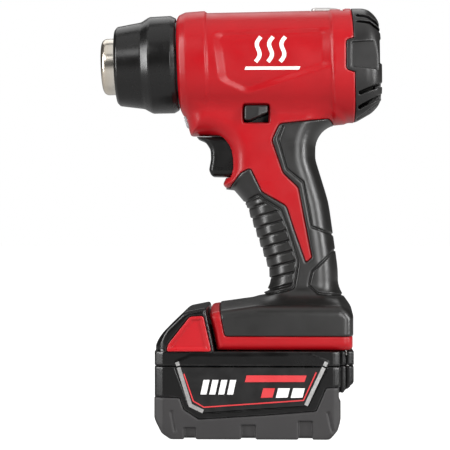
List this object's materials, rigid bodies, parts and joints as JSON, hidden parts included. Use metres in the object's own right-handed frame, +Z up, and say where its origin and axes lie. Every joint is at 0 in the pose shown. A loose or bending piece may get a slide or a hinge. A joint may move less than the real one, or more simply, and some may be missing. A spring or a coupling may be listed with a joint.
{
  "type": "cordless heat gun",
  "caption": "Cordless pistol-grip heat gun with a steel nozzle, black heat sleeve, red housing, rubber grip, hang hook and slide-on battery pack.",
  "frame": {"origin": "on the surface the battery stands on, under the middle of the tool's length and width", "axes": "+Z up, -X the way the nozzle points, +Y the tool's right side (the hand's right when it is held)"},
  "size_m": [0.1632, 0.0772, 0.2476],
  "materials": {
    "red_plastic": "moulded nylon, fine spark texture, satin",
    "black_plastic": "moulded nylon, fine texture",
    "grip_rubber": "soft overmoulded rubber, matte",
    "bumper_rubber": "dark grey overmoulded rubber, matte",
    "nozzle_steel": "drawn stainless steel, slightly straw-coloured",
    "bright_steel": "plated steel",
    "mica": "pressed mica sheet, dull",
    "heater_wire": "oxidised resistance wire",
    "copper_parts": "copper windings and bronze bushes",
    "circuit_board": "green solder mask",
    "white_plastic": "glass-filled nylon",
    "clear_plastic": "clear polycarbonate over white",
    "silver_badge": "printed badge plate, black with silver edges",
    "cell_wrap": "shrink sleeve",
    "wire_insulation": "silicone insulation"
  },
  "bodies": {
    "housing": {"housing_left": "red_plastic", "housing_right": "red_plastic", "grip_left": "grip_rubber", "grip_right": "grip_rubber", "housing_screw_1": "bright_steel", "housing_screw_2": "bright_steel", "housing_screw_3": "bright_steel", "housing_screw_4": "bright_steel", "housing_screw_5": "bright_steel", "housing_screw_6": "bright_steel", "nozzle_tube": "nozzle_steel", "nozzle_sleeve": "black_plastic", "mica_tube": "mica", "heater_former": "mica", "heater_coil": "heater_wire", "thermal_fuse": "heater_wire", "air_duct": "white_plastic", "motor_can": "bright_steel", "motor_bush_front": "copper_parts", "motor_bush_rear": "copper_parts", "motor_damper": "grip_rubber", "motor_mount": "black_plastic", "rear_cap": "black_plastic", "dust_screen": "bright_steel", "trigger_spring": "bright_steel", "switch_body": "black_plastic", "led_lens": "clear_plastic", "led_board": "circuit_board", "control_board": "circuit_board", "terminal_block": "black_plastic", "power_wire_left": "wire_insulation", "power_wire_right": "wire_insulation"},
    "rotor": {"motor_shaft": "bright_steel", "armature": "copper_parts", "impeller": "white_plastic"},
    "trigger": {"trigger": "black_plastic"},
    "lock_shuttle": {"lock_shuttle": "black_plastic"},
    "hang_hook": {"hang_hook": "bright_steel"},
    "battery": {"battery_case": "black_plastic", "battery_bumper": "bumper_rubber", "battery_top": "black_plastic", "battery_badge_left": "silver_badge", "battery_badge_right": "silver_badge", "gauge_lens": "clear_plastic", "latch_spring_left": "bright_steel", "latch_spring_right": "bright_steel", "battery_contact_left": "copper_parts", "battery_contact_right": "copper_parts", "battery_screw_1": "bright_steel", "battery_screw_2": "bright_steel", "cell_pair_1": "cell_wrap", "cell_pair_2": "cell_wrap", "cell_pair_3": "cell_wrap", "cell_pair_4": "cell_wrap", "cell_pair_5": "cell_wrap", "battery_board": "circuit_board"},
    "latch_left": {"latch_left": "red_plastic"},
    "latch_right": {"latch_right": "red_plastic"},
    "gauge_button": {"gauge_button": "red_plastic"}
  },
  "joints": [
    {"name": "battery_slide", "type": "slide", "parent": "housing", "child": "battery", "axis": [-1, 0, 0], "range_m": [0, 0.11]},
    {"name": "trigger_pull", "type": "slide", "parent": "housing", "child": "trigger", "axis": [1, 0, 0], "range_m": [0, 0.005], "stiffness_N_per_m": 900, "springref_m": -0.003, "deforming": ["trigger_spring"]},
    {"name": "lock_slide", "type": "slide", "parent": "housing", "child": "lock_shuttle", "axis": [0, 1, 0], "range_m": [-0.003, 0.003]},
    {"name": "fan_spin", "type": "hinge", "parent": "housing", "child": "rotor", "pos_m": [0, 0, 0.2163], "axis": [0.9994, 0, 0.0349], "continuous": true},
    {"name": "hook_swing", "type": "hinge", "parent": "housing", "child": "hang_hook", "pos_m": [0.0586, 0, 0.2434], "axis": [0, 1, 0], "range_deg": [0, 90]},
    {"name": "latch_left_press", "type": "slide", "parent": "battery", "child": "latch_left", "axis": [0, 1, 0], "range_m": [0, 0.0025], "stiffness_N_per_m": 1000, "springref_m": -0.002, "deforming": ["latch_spring_left"]},
    {"name": "latch_right_press", "type": "slide", "parent": "battery", "child": "latch_right", "axis": [0, -1, 0], "range_m": [0, 0.0025], "stiffness_N_per_m": 1000, "springref_m": -0.002, "deforming": ["latch_spring_right"]},
    {"name": "gauge_press", "type": "slide", "parent": "battery", "child": "gauge_button", "axis": [1, 0, 0], "range_m": [0, 0.0008], "stiffness_N_per_m": 1500, "springref_m": -0.001}
  ]
}
